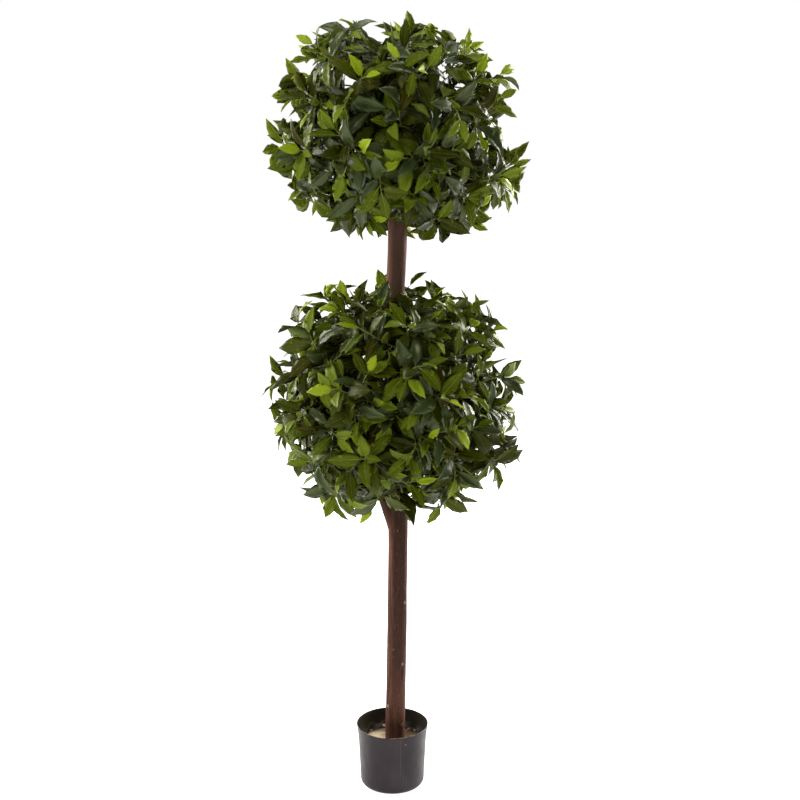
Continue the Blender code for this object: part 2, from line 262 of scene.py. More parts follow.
for seam_side, _, _ in SEAMS:
    for edge_side in (-1, 0, 1):
        parts = pot_body.verts[:] + pot_body.edges[:] + pot_body.faces[:]
        plane = {"plane_co": (seam_side + edge_side * SEAM_WIDTH / 2, 0, 0), "plane_no": (1, 0, 0)}
        bmesh.ops.bisect_plane(pot_body, geom=parts, dist=1e-7, **plane)
for corner in pot_body.verts:
    place = corner.co
    outwards = Vector((place.x, place.y, 0)).normalized()
    if place.z > POT_CORNER:
        corner.co += outwards * POT_WAVE * noise.noise(place * POT_WAVES)
    ridge = any(
        abs(place.x - seam_side) < SEAM_WIDTH / 10 and low < place.z < high
        for seam_side, low, high in SEAMS
    )
    outer = outwards.dot(place) > pot_radius(place.z) - POT_WALL / 2
    if ridge and outer and place.y < 0:
        corner.co += outwards * SEAM_HEIGHT
gate_place = Vector((GATE.x, -sqrt(pot_radius(GATE.z) ** 2 - GATE.x**2), GATE.z))
gate_turn = (gate_place * Vector((1, 1, 0))).to_track_quat("Z", "Y").to_matrix().to_4x4()
shape = Matrix.Translation(gate_place) @ gate_turn @ Matrix.Diagonal((1, 1, GATE_RISE, 1))
sphere = {"u_segments": 16, "v_segments": 8, "radius": GATE_RADIUS}
gate = bmesh.ops.create_uvsphere(pot_body, matrix=shape, **sphere)
for face in {face for corner in gate["verts"] for face in corner.link_faces}:
    face.material_index = 2
for face in pot_body.faces:
    middle = face.calc_center_median()
    inwards = face.normal.dot(Vector((middle.x, middle.y, 0))) < 0
    if inwards and POT_WALL < middle.z < POT_TOP - POT_WALL and not face.material_index:
        face.material_index = 1

plastic = Paint("pot_plastic", POT_DARK, 0.36, 0.17)
scuffs = plastic.noise(38, 0.42, 0.7, stretch=(1, 1, 0.35))
rim = plastic.band(plastic.axis("Z"), *[POT_TOP - under for under in POT_RIM_SPAN])
pale_rim = rim * plastic.noise(90, 0.35, 0.6)
front = plastic.band(plastic.axis("Y"), 0.0, -0.01)
seam_line = 0.0
for seam_side, low, high in SEAMS:
    left = plastic.band(plastic.axis("X"), seam_side - SEAM_WIDTH, seam_side)
    right = plastic.band(plastic.axis("X"), seam_side + SEAM_WIDTH, seam_side)
    span = plastic.band(plastic.axis("Z"), low, low + SEAM_WIDTH)
    span = span * plastic.band(plastic.axis("Z"), high, high - SEAM_WIDTH)
    seam_line = left * right * span * front + seam_line
worn = plastic.mix(scuffs, POT_DARK, POT_WORN)
worn = plastic.mix(seam_line, worn, POT_SEAM)
plastic.set("Base Color", plastic.mix(pale_rim, worn, POT_RIM))
plastic.rough(0.4, 0.1, 60, 0.3, 0.7)
plastic.bump(0.00012, 900, detail=2)

inside = Paint("pot_inside", POT_INSIDE, 0.5, 0.25)
film_height = inside.band(inside.axis("Z"), *POT_FILM_SPAN)
film = film_height * inside.noise(45, 0.44, 0.62, stretch=(1, 1, 2))
inside.set("Base Color", inside.mix(film, POT_INSIDE, POT_FILM))
inside.set("Roughness", 0.45 + 0.4 * film)
inside.bump(0.0003, 300)

mark = Paint("pot_gate_mark", POT_GATE, 0.5)
mark.rough(0.4, 0.2, 700)

pot = add_piece("round_pot", pot_body, (plastic, inside, mark))
dress(pot, "pot_plastic", "pot")

# ------ pole
# A real wooden pole with its bark on. It stands in the cement, runs up through the lower ball and
# ends inside the upper one. Two short boughs fork off it, low in each ball.

# Centre lines as (x, y, z), in the order foot to tip
POLE_LINE = (
    (0.0065, 0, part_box("trunk")[0].z),
    (0.009, 0, 0.25),
    (0.0139, 0.001, 0.58),
    (0.013, 0.002, 0.76),
    (0.0065, 0.002, 0.96),
    (0.0022, 0.001, 1.13),
    (0.0107, 0, 1.26),
    (0.0137, 0, 1.38),
    (0.0155, 0.001, 1.66),
)
POLE_RADII = (0.0239, 0.0215)
POLE_SIDES = 110
POLE_RINGS = 330
BOUGH_LINES = (  # left in the lower ball, and right in the upper one
    ((0.01, 0, 0.63), (-0.009, -0.002, 0.69), (-0.0265, -0.003, 0.74), (-0.048, -0.002, 0.79)),
    ((0.014, 0, 1.455), (0.03, -0.003, 1.51), (0.041, -0.004, 1.552), (0.047, -0.004, 1.582)),
)
BOUGH_RADII = (0.0135, 0.0125, 0.0108, 0.0085)
BOUGH_SIDES = 56
BOUGH_RINGS = 60
LIMB_STEPS = 400  # on a limb, for distances from its bark
# Waves round the pole and up it per metre, and their depth
BARK_RELIEF = ((17, 7, 0.001), (110, 5, 0.0008), (300, 14, 0.0004))
KNOTS = (  # x, y, z, radius, height
    (-0.0104, -0.0145, 0.2035, 0.0065, 0.0014),
    (0.024, -0.0175, 0.156, 0.0065, 0.001),
    (0.0245, -0.018, 0.3136, 0.005, 0.0012),
    (-0.0106, -0.009, 0.3579, 0.005, 0.0012),
    (0.0299, -0.0145, 0.469, 0.0055, 0.0012),
    (-0.007, 0.018, 0.41, 0.007, 0.0014),
)
SPLIT_PLACE = Vector((0.0238, -0.0183, 0.29))  # a crack that opened in the drying wood
SPLIT_WIDTH = 0.0036
SPLIT_STRETCH = (1, 1, 0.14)
SPLIT_DEPTH = 0.0014

BARK_DARK = (0.0245, 0.0096, 0.0065)
BARK_LIT_HIGH = (0.062, 0.034, 0.0225)  # painted light: the dark bark is paler high up the pole, where the upper ball shades it
BARK_LIT_HIGH_SPAN = (1.0, 1.25)
BARK_RED = (0.15, 0.06, 0.036)
BARK_STREAKED = 0.45  # how much of the red lies in fine streaks
BARK_PATCHED = 0.55  # and in broad patches
BARK_FRONT_SHADE = 0.88  # painted shade: how far the pole's front is made darker and less red than its sides
BARK_FRONT_SPAN = (-0.017, -0.0234)
BARK_FACING = 0.2  # how far that front is turned to the right
BARK_REDDER = 0.36  # how much of its red the foot keeps under that painted shade
BARK_REDDER_SPAN = (0.34, 0.2)
# how far the pole's back loses its red
BARK_BACK_DULLING = 0.45
BARK_BACK_SPAN = (0.006, 0.018)
FORK_PLACE = Vector((-0.028, -0.008, 0.735))  # painted shade: the bark is darker round the lower fork as well
FORK_RADIUS = 0.1
FORK_SHADE = 0.75
BARK_CRACK = (0.011, 0.0055, 0.004)
BARK_PALE = (0.21, 0.145, 0.1)


def smooth_point(line, place):
    """The point at a place from 0 to 1 along the Catmull-Rom curve through a line's points."""
    spans = len(line) - 1
    span = min(int(place * spans), spans - 1)
    part = place * spans - span
    four = [Vector(line[min(max(span + step, 0), spans)]) for step in (-1, 0, 1, 2)]
    before, start, end, after = four
    bend = (
        2 * start
        + (end - before) * part
        + (2 * before - 5 * start + 4 * end - after) * part**2
        + (3 * start - before - 3 * end + after) * part**3
    )
    return bend / 2


def smooth_number(numbers, place):
    """The number at a place from 0 to 1 along a row of evenly spaced numbers."""
    spans = len(numbers) - 1
    span = min(int(place * spans), spans - 1)
    return numbers[span] + (numbers[span + 1] - numbers[span]) * (place * spans - span)


def add_limb(body, line, radii, sides, rings):
    """A tapering limb: a disc at its foot, extruded from ring to ring along the line."""
    places = [ring / rings for ring in range(rings + 1)]
    points = [smooth_point(line, place) for place in places]
    heading = (points[1] - points[0]).normalized()
    turn = heading.to_track_quat("Z", "X")
    disc = bmesh.ops.create_circle(body, cap_ends=True, segments=sides, radius=1.0)["verts"]
    ring = [vert.co.copy() for vert in disc]
    end = list(set.intersection(*(set(vert.link_faces) for vert in disc)))
    for index, point in enumerate(points):
        tangent = (points[min(index + 1, rings)] - points[max(index - 1, 0)]).normalized()
        turn = heading.rotation_difference(tangent) @ turn
        heading = tangent
        if index:
            grown = bmesh.ops.extrude_face_region(body, geom=end + list(end[0].edges))["geom"]
            end = [item for item in grown if isinstance(item, bmesh.types.BMFace)]
        radius = smooth_number(radii, places[index])
        for corner, place in zip(end[0].verts, ring):
            corner.co = point + turn @ (place * radius)


def limbs(name, lines, radii, sides, rings, paint):
    """One object of limbs with the same radii."""
    body = bmesh.new()
    for line in lines:
        add_limb(body, line, radii, sides, rings)
    bmesh.ops.recalc_face_normals(body, faces=body.faces[:])
    return add_piece(name, body, (paint,))


def combine(piece, other, operation):
    """Join the other object to the piece or cut it out, and remove it."""
    boolean = piece.modifiers.new("Boolean", "BOOLEAN")
    boolean.operation = operation
    boolean.object = other
    depsgraph = bpy.context.evaluated_depsgraph_get()
    old = piece.data
    made = bpy.data.meshes.new_from_object(piece.evaluated_get(depsgraph))
    piece.modifiers.clear()
    piece.data = made
    bpy.data.meshes.remove(old)
    bpy.data.objects.remove(other)


def pole_centre(height):
    """The pole's centre at a height, found by halving."""
    place = 0.0
    for halving in range(1, 25):
        further = place + 0.5**halving
        if smooth_point(POLE_LINE, further).z < height:
            place = further
    return smooth_point(POLE_LINE, place)


limb_radii = []
limb_tree = KDTree(3 * (LIMB_STEPS + 1))
for line in (POLE_LINE, *BOUGH_LINES):
    radii = POLE_RADII if line is POLE_LINE else BOUGH_RADII
    for step in range(LIMB_STEPS + 1):
        limb_tree.insert(smooth_point(line, step / LIMB_STEPS), len(limb_radii))
        limb_radii.append(smooth_number(radii, step / LIMB_STEPS))
limb_tree.balance()


def limb_gap(place):
    """How far a place is from the bark of the pole or a bough."""
    _, number, distance = limb_tree.find(place)
    return distance - limb_radii[number]


def bark_relief(place):
    """How far the bark stands out: fibres, grooves, swellings and knots."""
    depth = 0.0
    for across, along, size in BARK_RELIEF:
        depth += size * noise.noise((place.x * across, place.y * across, place.z * along))
    for *knot, radius, height in KNOTS:
        depth += height * exp(-(((place - Vector(knot)).length / radius) ** 2))
    from_split = (place - SPLIT_PLACE) * Vector(SPLIT_STRETCH)
    return depth - SPLIT_DEPTH * exp(-((from_split.length / SPLIT_WIDTH) ** 2))


bark = Paint("bark", BARK_DARK, 0.75, 0.1)
streaks = bark.noise(1, 0.34, 0.68, 5, (300, 300, 14))
patches = bark.noise(1, 0.38, 0.64, 3, (42, 42, 3))
# painted shade: the front of the pole is darker and less red than its sides, less so at its foot
painted_front_shade = bark.band(bark.axis("Y") - BARK_FACING * bark.axis("X"), *BARK_FRONT_SPAN)
redder = BARK_REDDER * bark.band(bark.axis("Z"), *BARK_REDDER_SPAN)
duller_back = BARK_BACK_DULLING * bark.band(bark.axis("Y"), *BARK_BACK_SPAN)
# painted shade round the lower fork
fork_shade = FORK_SHADE * bark.near(FORK_PLACE, FORK_RADIUS)
# the red is taken away by the painted shade on the front and round the fork, and on the back
bark_shade_and_dulling = painted_front_shade * (BARK_FRONT_SHADE - redder) + duller_back + fork_shade
redness = (BARK_STREAKED * streaks + BARK_PATCHED * patches) * (1 - bark_shade_and_dulling)
# painted light: paler bark high up the pole, where the upper ball shades it
bark_lit_high = bark.mix(bark.band(bark.axis("Z"), *BARK_LIT_HIGH_SPAN), BARK_DARK, BARK_LIT_HIGH)
wood_colour = bark.mix(redness, bark_lit_high, BARK_RED)
cracks = 0.7 * bark.noise(1, 0.59, 0.72, 4, (210, 210, 13))
scratches = 0.06 * bark.noise(1, 0.46, 0.72, 3, (520, 520, 60))
chips = bark.noise(1, 0.68, 0.78, 3, (420, 420, 70)) + scratches
for *knot, radius, _ in KNOTS:
    chips = chips + bark.near(Vector(knot), radius) * bark.noise(480, 0.36, 0.5)
split = bark.near(SPLIT_PLACE, SPLIT_WIDTH, SPLIT_STRETCH)
cracked = bark.mix(cracks + split, wood_colour, BARK_CRACK)
bark.set("Base Color", bark.mix(chips, cracked, BARK_PALE))
bark.rough(0.62, 0.25, 1, stretch=(200, 200, 12))
bark.bump(0.001, 1, detail=3, stretch=(700, 700, 30))

pole = limbs("bark_pole", [POLE_LINE], POLE_RADII, POLE_SIDES, POLE_RINGS, bark)
for line in BOUGH_LINES:
    bough = limbs("bough", [line], BOUGH_RADII, BOUGH_SIDES, BOUGH_RINGS, bark)
    combine(pole, bough, "UNION")
pole_body = bmesh.new()
pole_body.from_mesh(pole.data)
pole_body.normal_update()
moves = [(corner, corner.normal * bark_relief(corner.co)) for corner in pole_body.verts]
for corner, move in moves:
    corner.co += move
pole_body.to_mesh(pole.data)
pole_body.free()
pole.data.shade_smooth()
dress(pole, "bark", "trunk", "left_bough", "right_bough")

# ------ cement
# Sand-coloured cement poured round the pole's foot. It has shrunk a little from the pot's wall,
# creeps up the bark, and has left pale splashes on the wall just above it.

FILL_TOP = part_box("cement_fill")[1].z
FILL_GAP = 0.0003
FILL_GROOVE = 0.0026  # depth of the gap at the wall
FILL_GROOVE_WIDTH = 0.003
GROOVE_STEEP = 1.6
FILL_CRUST_WIDTH = 0.0016  # a thin crust still sticks to the wall
FILL_LUMPS = ((60, 0.0006), (210, 0.0004))  # per metre, and height
FILL_RINGS = 40
FILL_SIDES = 160
FILL_SHARP = 60  # degrees
FILL_COLLAR = 0.002  # how far it creeps up the pole
FILL_COLLAR_WIDTH = 0.005
FILL_FOOT = 0.02  # up the pole's line, at the collar
SOCKET_GAP = 0.0006
SOCKET_SIDES = 96
SPLASHES = 17
SPLASH_SIZE = (0.0022, 0.0052)
SPLASH_RISE = 0.011  # how far above the cement they reach
SPLASH_SHIFT = 0.3  # of the space between two of them
SPLASH_WIDTH = (0.9, 1.7)  # of their height
SPLASH_DEPTH = 0.35
SPLASH_SINK = 0.12
SPLASH_LUMPS = (330, 0.5)  # per metre, and height

CEMENT_SAND = (0.74, 0.6, 0.4)
CEMENT_BROWN = (0.16, 0.1, 0.048)
SHADOW_PLACE = Vector((0.054, 0.04, FILL_TOP))  # painted shadow: the cement is brown on this side, where the pole's shadow falls
SHADOW_RADIUS = 0.06
SHADOW_STRENGTH = 0.95
EDGE_WIDTH = 0.006  # the cement is brown along the wall
EDGE_STRENGTH = 0.8
SPLASH_COLOUR = (0.28, 0.235, 0.235)

fill_radius = pot_radius(FILL_TOP) - POT_WALL - FILL_GAP
fill_surface = FILL_TOP - FILL_COLLAR
fill_outline = pot_side(POT_WALL + FILL_GAP, fill_surface)
for ring in range(1, FILL_RINGS + 1):
    radius = fill_radius * (1 - ring / FILL_RINGS)
    fill_outline.append(Vector((radius, fill_surface)))
fill_body = turned(fill_outline, FILL_SIDES)
foot = smooth_point(POLE_LINE, FILL_FOOT)
groove_radius = fill_radius - FILL_CRUST_WIDTH - FILL_GROOVE_WIDTH / 2
for corner in fill_body.verts:
    place = corner.co
    beyond = place.xy.length
    if place.z < fill_surface - FILL_GROOVE or beyond > fill_radius - FILL_CRUST_WIDTH / 2:
        continue
    from_pole = (place.xy - foot.xy).length - POLE_RADII[0]
    collar = FILL_COLLAR * exp(-max(from_pole, 0.0) / FILL_COLLAR_WIDTH)
    away = (beyond - groove_radius) / FILL_GROOVE_WIDTH * GROOVE_STEEP
    groove = FILL_GROOVE * exp(-(away**2))
    lumps = sum(height * noise.noise(place * count) for count, height in FILL_LUMPS)
    corner.co.z += collar - groove + lumps
cement = Paint("cement", CEMENT_SAND, 0.92)
damp = cement.noise(26, 0.42, 0.68, 5)
grains = cement.noise(520, 0.55, 0.72, 2)
# painted shadow of the pole, brown on the cement's right side
painted_shadow = SHADOW_STRENGTH * cement.near(SHADOW_PLACE, SHADOW_RADIUS)
sand = cement.mix(painted_shadow, cement.mix(damp, CEMENT_SAND, CEMENT_BROWN), CEMENT_BROWN)
from_axis = cement.distance(Vector(), (1, 1, 0))
edge = cement.band(from_axis, fill_radius - EDGE_WIDTH, fill_radius - EDGE_WIDTH / 3)
sand = cement.mix(EDGE_STRENGTH * edge, sand, CEMENT_BROWN)
cement.set("Base Color", cement.mix(grains * 0.6, sand, CEMENT_BROWN))
cement.set("Roughness", 0.86 + 0.12 * grains)
cement.bump(0.0012, 380)
fill = add_piece("cement_top", fill_body, (cement,), FILL_SHARP)
socket_line = (Vector(POLE_LINE[0]) - Vector((0, 0, FILL_GAP)), POLE_LINE[1])
socket_radii = [POLE_RADII[0] + SOCKET_GAP] * 2
socket = limbs("socket", [socket_line], socket_radii, SOCKET_SIDES, 2, cement)
combine(fill, socket, "DIFFERENCE")
fill.data.shade_smooth()
fill.data.set_sharp_from_angle(angle=radians(FILL_SHARP))
dress(fill, "cement", "cement_fill")

splash = Paint("splash", SPLASH_COLOUR, 0.9)
blotches = splash.noise(150, 0.4, 0.6)
splash.set("Base Color", splash.mix(blotches, SPLASH_COLOUR, CEMENT_SAND))
splash.rough(0.8, 0.15, 300)
splash.bump(0.0008, 500)
rng = random.Random(4)
splash_body = bmesh.new()
for number in range(SPLASHES):
    turn = 2 * pi * (number + rng.uniform(-SPLASH_SHIFT, SPLASH_SHIFT)) / SPLASHES
    height = fill_surface + rng.uniform(0.0, SPLASH_RISE)
    size = rng.uniform(*SPLASH_SIZE)
    reach = pot_radius(height) - POT_WALL - size * SPLASH_SINK
    place = Vector((reach * cos(turn), reach * sin(turn), height))
    shape = Matrix.Diagonal((size * SPLASH_DEPTH, size * rng.uniform(*SPLASH_WIDTH), size, 1))
    shape = Matrix.Translation(place) @ Matrix.Rotation(turn, 4, "Z") @ shape
    drop = bmesh.ops.create_icosphere(splash_body, subdivisions=3, radius=1.0, matrix=shape)
    for corner in drop["verts"]:
        lump = noise.noise(corner.co * SPLASH_LUMPS[0])
        corner.co += (corner.co - place) * SPLASH_LUMPS[1] * lump
        wall = pot_radius(corner.co.z) - POT_WALL - FILL_GAP / 3
        beyond = corner.co.xy.length
        if beyond > wall:
            corner.co.xy *= wall / beyond
splashes = add_piece("cement_splashes", splash_body, (splash,), 80)
dress(splashes, "cement", "cement_fill")

# ------ branches and twigs
# Wired branches are set into the pole and wrapped brown. Each divides into olive twigs that reach
# evenly over the ball, and those divide again into the green shoots that carry the leaves.

Ball = namedtuple("Ball", "name centre reach lean yaw seed shoots")
# Lean is how far a ball's top stands right of its middle, for each metre up
BALLS = (
    Ball("lower", Vector((0.002, 0, 0.967)), Vector((0.315, 0.312, 0.302)), -0.05, 50, 11, 156),
    Ball("upper", Vector((0.008, 0, 1.574)), Vector((0.307, 0.307, 0.257)), -0.09, 20, 31, 131),
)
BALL_POWER = 2.5  # 2 is an ellipsoid, and more has fuller shoulders
# Height angle, number round the ball, and height over its middle at the pole
TIERS = ((54.7, 3, 0.05), (0, 6, 0), (-54.7, 3, -0.12))
GOLDEN_ANGLE = pi * (3 - sqrt(5))
BRANCH_REACH = 0.44  # of the ball's reach
BRANCH_RADII = (0.0062, 0.005, 0.0036)
BRANCH_TURN = 0.35  # how far a branch first follows its bough
BRANCH_BARE = 0.25  # the first part of a branch has no twigs
BRANCH_LAST = 0.97
TWIGS = 63  # on a ball
TWIG_REACH = (0.6, 0.66)
TWIG_RADII = (0.0024, 0.0019, 0.0015)
TWIG_JITTER = 0.1
TWIG_TURN = 0.12  # how far a twig first follows its branch
SHOOT_REACH = (0.625, 0.875)
SHOOT_RADII = (0.0014, 0.0012, 0.0009)
SHOOT_JITTER = 0.055
SHOOT_START = (0.35, 0.96)  # along its twig, from the most spreading to the straightest
SHOOT_LEAN = 35  # degrees from its twig, for the most spreading
SHOOT_TURN = 0.22
INNER_SHOOTS = 44  # on a ball, short ones that fill its middle
INNER_REACH = (0.4, 0.56)
INNER_START = (0.35, 0.8)  # along their branches
TIP_GAP = 0.014  # tips stay this far from the bark
BUD_RADIUS = 0.0017
BUD_SPACING = 0.012

BRANCH_BROWN = (0.072, 0.036, 0.022)
TWIG_OLIVE = (0.115, 0.088, 0.02)
SHOOT_GREEN = (0.115, 0.135, 0.014)
BUD_RED = (0.12, 0.042, 0.03)

Shoot = namedtuple("Shoot", "line along inner")
UP = Vector((0, 0, 1))


def fullness(ball, offset):
    """How far out a place is: 1 where the furthest leaf tips reach."""
    upright = (offset.x - ball.lean * offset.z, offset.y, offset.z)
    parts = [abs(part / size) ** BALL_POWER for part, size in zip(upright, ball.reach)]
    return sum(parts) ** (1 / BALL_POWER)


def place_in(ball, direction, share):
    """The place in a direction from the ball's centre, at a share of its reach."""
    return ball.centre + direction * share / fullness(ball, direction)


def spread_directions(ball, count, jitter, reach, rng):
    """Directions spread evenly over a ball by a golden spiral, but for those on the pole."""
    found = []
    for number in range(count):
        height = 1 - (2 * number + 1) / count
        turn = number * GOLDEN_ANGLE + radians(ball.yaw)
        flat = sqrt(1 - height**2)
        nudge = Vector([rng.uniform(-jitter, jitter) for _ in range(3)])
        tip = (Vector((flat * cos(turn), flat * sin(turn), height)) + nudge).normalized()
        if limb_gap(place_in(ball, tip, reach)) > TIP_GAP:
            found.append(tip)
    return found


def branch_lines(ball):
    """Each branch's direction, and its line from the pole or from the end of a bough."""
    found = []
    for tier, (height_angle, count, rise) in enumerate(TIERS):
        up = radians(height_angle)
        for number in range(count):
            turn = radians(ball.yaw + 360 * (number + tier / 2) / count)
            direction = Vector((cos(up) * cos(turn), cos(up) * sin(turn), sin(up)))
            found.append([direction, pole_centre(ball.centre.z + rise), None])
    for line in BOUGH_LINES:
        end, before = Vector(line[-1]), Vector(line[-2])
        if fullness(ball, end - ball.centre) < 1:
            nearest = max(found, key=lambda row: row[0].dot((end - ball.centre).normalized()))
            nearest[1:] = end, (end - before).normalized()
    lines = []
    for direction, start, heading in found:
        end = place_in(ball, direction, BRANCH_REACH)
        middle = start.lerp(end, 0.5)
        if heading is not None:
            start = start - heading * BRANCH_RADII[0]
            middle = start + heading * (end - start).length * BRANCH_TURN
        lines.append((direction, (start, middle, end)))
    return lines


def fork(line, share, end, turn):
    """A line to an end from a share of the way along another, which it first follows."""
    start = smooth_point(line, share)
    along = (line[2] - line[1]).normalized()
    return start, start.lerp(end, 0.5) + along * turn * (end - start).length, end


def grow(ball, rng):
    """Branch, twig and shoot lines of a ball, each kind in a list."""
    branches = branch_lines(ball)
    twigs = []
    own_tips = [[] for _ in branches]
    for tip in spread_directions(ball, TWIGS, TWIG_JITTER, TWIG_REACH[0], rng):
        nearest = max(range(len(branches)), key=lambda number: branches[number][0].dot(tip))
        own_tips[nearest].append(tip)
    for (direction, line), tips in zip(branches, own_tips):
        tips.sort(key=direction.dot)
        for order, tip in enumerate(tips):
            share = BRANCH_BARE + (BRANCH_LAST - BRANCH_BARE) * (order + 1) / len(tips)
            end = place_in(ball, tip, rng.uniform(*TWIG_REACH))
            twigs.append((tip, fork(line, share, end, TWIG_TURN)))
    lines = []
    for tip in spread_directions(ball, ball.shoots, SHOOT_JITTER, SHOOT_REACH[0], rng):
        twig_tip, line = max(twigs, key=lambda twig: twig[0].dot(tip))
        lean = min(twig_tip.angle(tip) / radians(SHOOT_LEAN), 1.0)
        share = SHOOT_START[1] + (SHOOT_START[0] - SHOOT_START[1]) * lean
        end = place_in(ball, tip, rng.uniform(*SHOOT_REACH))
        lines.append((fork(line, share, end, SHOOT_TURN), False))
    for tip in spread_directions(ball, INNER_SHOOTS, TWIG_JITTER, INNER_REACH[0], rng):
        _, line = max(branches, key=lambda branch: branch[0].dot(tip))
        share = rng.uniform(*INNER_START)
        end = place_in(ball, tip, rng.uniform(*INNER_REACH))
        lines.append((fork(line, share, end, 0), True))
    shoots = [Shoot(line, (line[2] - line[1]).normalized(), inner) for line, inner in lines]
    return branches, twigs, shoots


branch_paint = Paint("branch_wrap", BRANCH_BROWN, 0.7)
branch_paint.rough(0.6, 0.25, 400)
branch_paint.bump(0.0006, 700, detail=2)
twig_paint = Paint("twig_olive", TWIG_OLIVE, 0.6)
twig_paint.rough(0.5, 0.2, 500)
twig_paint.bump(0.0004, 900, detail=2)
shoot_paint = Paint("shoot_green", SHOOT_GREEN, 0.5)
shoot_paint.rough(0.42, 0.2, 500)
shoot_paint.bump(0.0003, 900, detail=2)
bud_paint = Paint("bud_red", BUD_RED, 0.5)
bud_paint.rough(0.42, 0.2, 600)


def dress_ball(ball, piece):
    """The piece is part of a ball and stands for its sprays."""
    dress(piece, "leaves", *[f"{ball.name}_spray_{number:02d}" for number in range(1, 13)])


shoots_of = {}
for ball in BALLS:
    rng = random.Random(ball.seed)
    branches, twigs, shoots = grow(ball, rng)
    shoots_of[ball.name] = shoots
    kinds = (  # name, lines, radii, sides, rings, paint
        ("branches", [line for _, line in branches], BRANCH_RADII, 10, 8, branch_paint),
        ("twigs", [line for _, line in twigs], TWIG_RADII, 7, 6, twig_paint),
        ("shoots", [shoot.line for shoot in shoots], SHOOT_RADII, 6, 6, shoot_paint),
    )
    for kind, *shape in kinds:
        dress_ball(ball, limbs(f"{ball.name}_{kind}", *shape))
    bud_body = bmesh.new()
    for shoot in shoots:
        for step in (0, 1):
            place = Matrix.Translation(shoot.line[2] - shoot.along * step * BUD_SPACING)
            bmesh.ops.create_icosphere(bud_body, subdivisions=1, radius=BUD_RADIUS, matrix=place)
    dress_ball(ball, add_piece(f"{ball.name}_buds", bud_body, (bud_paint,), 80))

# ------ leaves
# Moulded polyester bay leaves with a plastic midrib and stalk. The shoots end in small fresh
# leaves, and the larger dark ones below spread flat over the ball with their faces outwards.

LEAVES = 8  # on a shoot
LEAF_LENGTH = (0.066, 0.088)  # of a full-grown leaf
LEAF_SIZES = (0.68, 0.76, 0.87, 0.95, 1.0, 1.0, 1.0, 0.95)  # from the tip down
LEAF_SPREADS = (24, 40, 55, 66, 74, 80, 84, 88)  # degrees from the shoot
LEAF_SPREAD_JITTER = 18
LEAF_HANG = 0.35  # how far its weight turns a leaf downwards
LEAF_TURN = 0.75  # of leaves at the ball's sides, towards its front or back
LEAF_LIFT = 0.35  # how far a leaf's face turns upwards
LEAF_LOOK = 0.2  # and along its shoot
LEAF_LEAN = 0.45  # and any way
LEAF_AHEAD = 0.9  # over this a leaf heads straight out and faces up or any way
LEAF_AHEAD_FACE = (0.5, 2)
LEAF_SIZE_JITTER = (0.93, 1.07)
LEAF_PLACE_JITTER = 0.5  # radians round the shoot, and spacings along it
LEAF_SPACING = 0.007  # between leaves along a shoot
LEAF_WIDTH = (0.4, 0.5)  # of its length
LEAF_FOLD = (8, 30)  # degrees that each half rises from the midrib
LEAF_DROOP = (5, 62)  # degrees that it bends down over its length
LEAF_TWIST = (-26, 26)
LEAF_WAVE = (0.04, 0.18)  # ripple of its edge, of its half width
LEAF_RIPPLES = 2.2
LEAF_RIPPLE_SHIFT = 1.9  # between its halves
LEAF_TAPER = 0.35  # draws the outline in towards its tip
LEAF_BELLY = 0.88  # under 1 moves its widest place towards its foot
LEAF_POINT = 0.95  # more makes both its ends more pointed
LEAF_TEETH = 0.045  # how uneven its outline is
LEAF_VEIN = 0.065  # how far its side veins stand out, of the half width
LEAF_THICKNESS = 0.00055
LEAF_SWELL = 0.05  # how far each half swells, of the half width
LEAF_ROWS = 8
LEAF_TRIES = 7
STALK = 0.006
RIB_RADII = (0.00095, 0.0005)
RIB_END = 0.94
RIB_ROWS = 6
LEAF_WIDEST = 0.45  # along it
LEAF_WIDEST_DROP = 0.22  # of its tip's
PROXY_FACES = ((0, 1, 2), (0, 2, 3), (1, 4, 2), (2, 4, 3))  # of its rough shape
LEAF_CELL = 0.09  # leaves in neighbouring cells may cross
LEAF_GAP = 0.003  # leaves stay this far from the bark
FORK_SIDES = (-0.046, 0.002)  # between these the leaves part, so that the lower fork shows
FORK_TOP = 0.722
FORK_SLOPE = 0.29  # the parting rises towards the front
HOLLOW_PLACE = Vector((0.04, -0.03, 1.58))  # and here, so that the upper bough shows
HOLLOW_WIDTH, HOLLOW_HEIGHT = 0.013, 0.028  # from its middle
OPENINGS = (  # right through the upper ball: x, z and half width at the trunk
    (0.119, 1.718, 0.014),
    (0.121, 1.692, 0.013),
    (0.147, 1.671, 0.009),
    (-0.096, 1.678, 0.009),
    (-0.179, 1.719, 0.014),
    (-0.218, 1.61, 0.013),
    (0.261, 1.58, 0.011),
    (-0.022, 1.771, 0.01),
)
OPENING_SIGHT = Vector((0.02, -2.87, 1.53))  # the openings line up with this place

Leaf = namedtuple("Leaf", "kind root across heading face length width fold droop twist wave phase")
LEAF_KINDS = (  # name, upper colour, under colour, roughness, gloss, tone of its rib
    # painted shade: the kind named old is brown-olive and is given only to leaves deep in the ball,
    # for the warm tint of the shade there
    ("old", (0.0248, 0.0238, 0.0003), (0.062, 0.066, 0.004), 0.46, 0.06, 0),
    ("cool", (0.0175, 0.0295, 0.0047), (0.078, 0.102, 0.027), 0.35, 0.36, 0),
    ("deep", (0.022, 0.0264, 0.0003), (0.06, 0.07, 0.005), 0.42, 0.09, 0),
    ("middle", (0.0326, 0.0404, 0.0003), (0.08, 0.094, 0.005), 0.42, 0.09, 0),
    ("green", (0.047, 0.066, 0.001), (0.092, 0.122, 0.006), 0.42, 0.08, 1),
    # the fresh and young leaves are paler green, and their colours are also brightened as painted
    # light, for light shining through the cloth
    ("fresh", (0.09, 0.125, 0.006), (0.128, 0.165, 0.01), 0.43, 0.09, 1),
    ("young", (0.185, 0.245, 0.008), (0.22, 0.275, 0.016), 0.43, 0.09, 1),
)
LEAF_SHEEN = (0.96, 1.0, 0.66, 1.0)  # the tint of what the waxy cloth reflects
